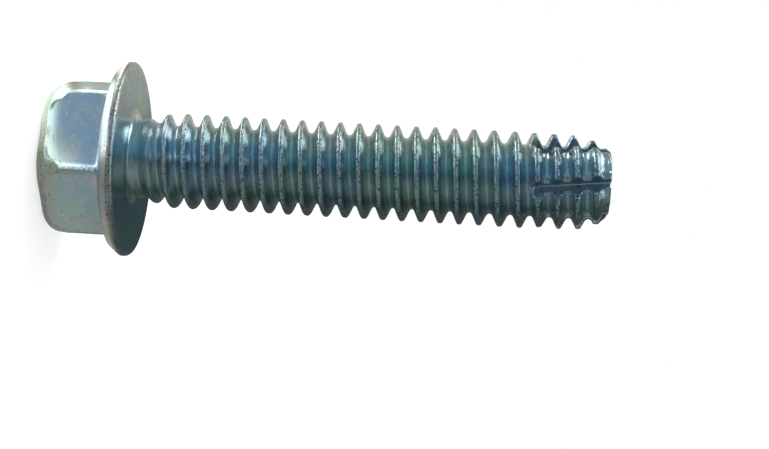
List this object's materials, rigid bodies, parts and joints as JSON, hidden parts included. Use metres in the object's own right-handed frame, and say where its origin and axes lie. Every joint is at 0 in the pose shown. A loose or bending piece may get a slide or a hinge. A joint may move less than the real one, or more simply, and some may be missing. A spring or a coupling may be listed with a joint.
{
  "type": "thread cutting screw",
  "caption": "Hex washer head screw with a coarse right-hand thread, a short plain neck and short cutting flutes at a blunt tapered point; zinc plated steel.",
  "frame": {"origin": "centre of the bearing face, the face of the washer that seats on the work", "axes": "+Z along the screw's axis from the head to the point; +X is a reference direction across the axis, fixed by the hexagon's and the flutes' turn"},
  "size_m": [0.013, 0.013, 0.037],
  "materials": {
    "zinc_plated_steel": "bright zinc plate with a blue-green passivate, worn grey at the washer's rim and on the edges of the hexagon"
  },
  "bodies": {
    "root": {"thread_cutting_screw": "zinc_plated_steel"}
  },
  "joints": []
}
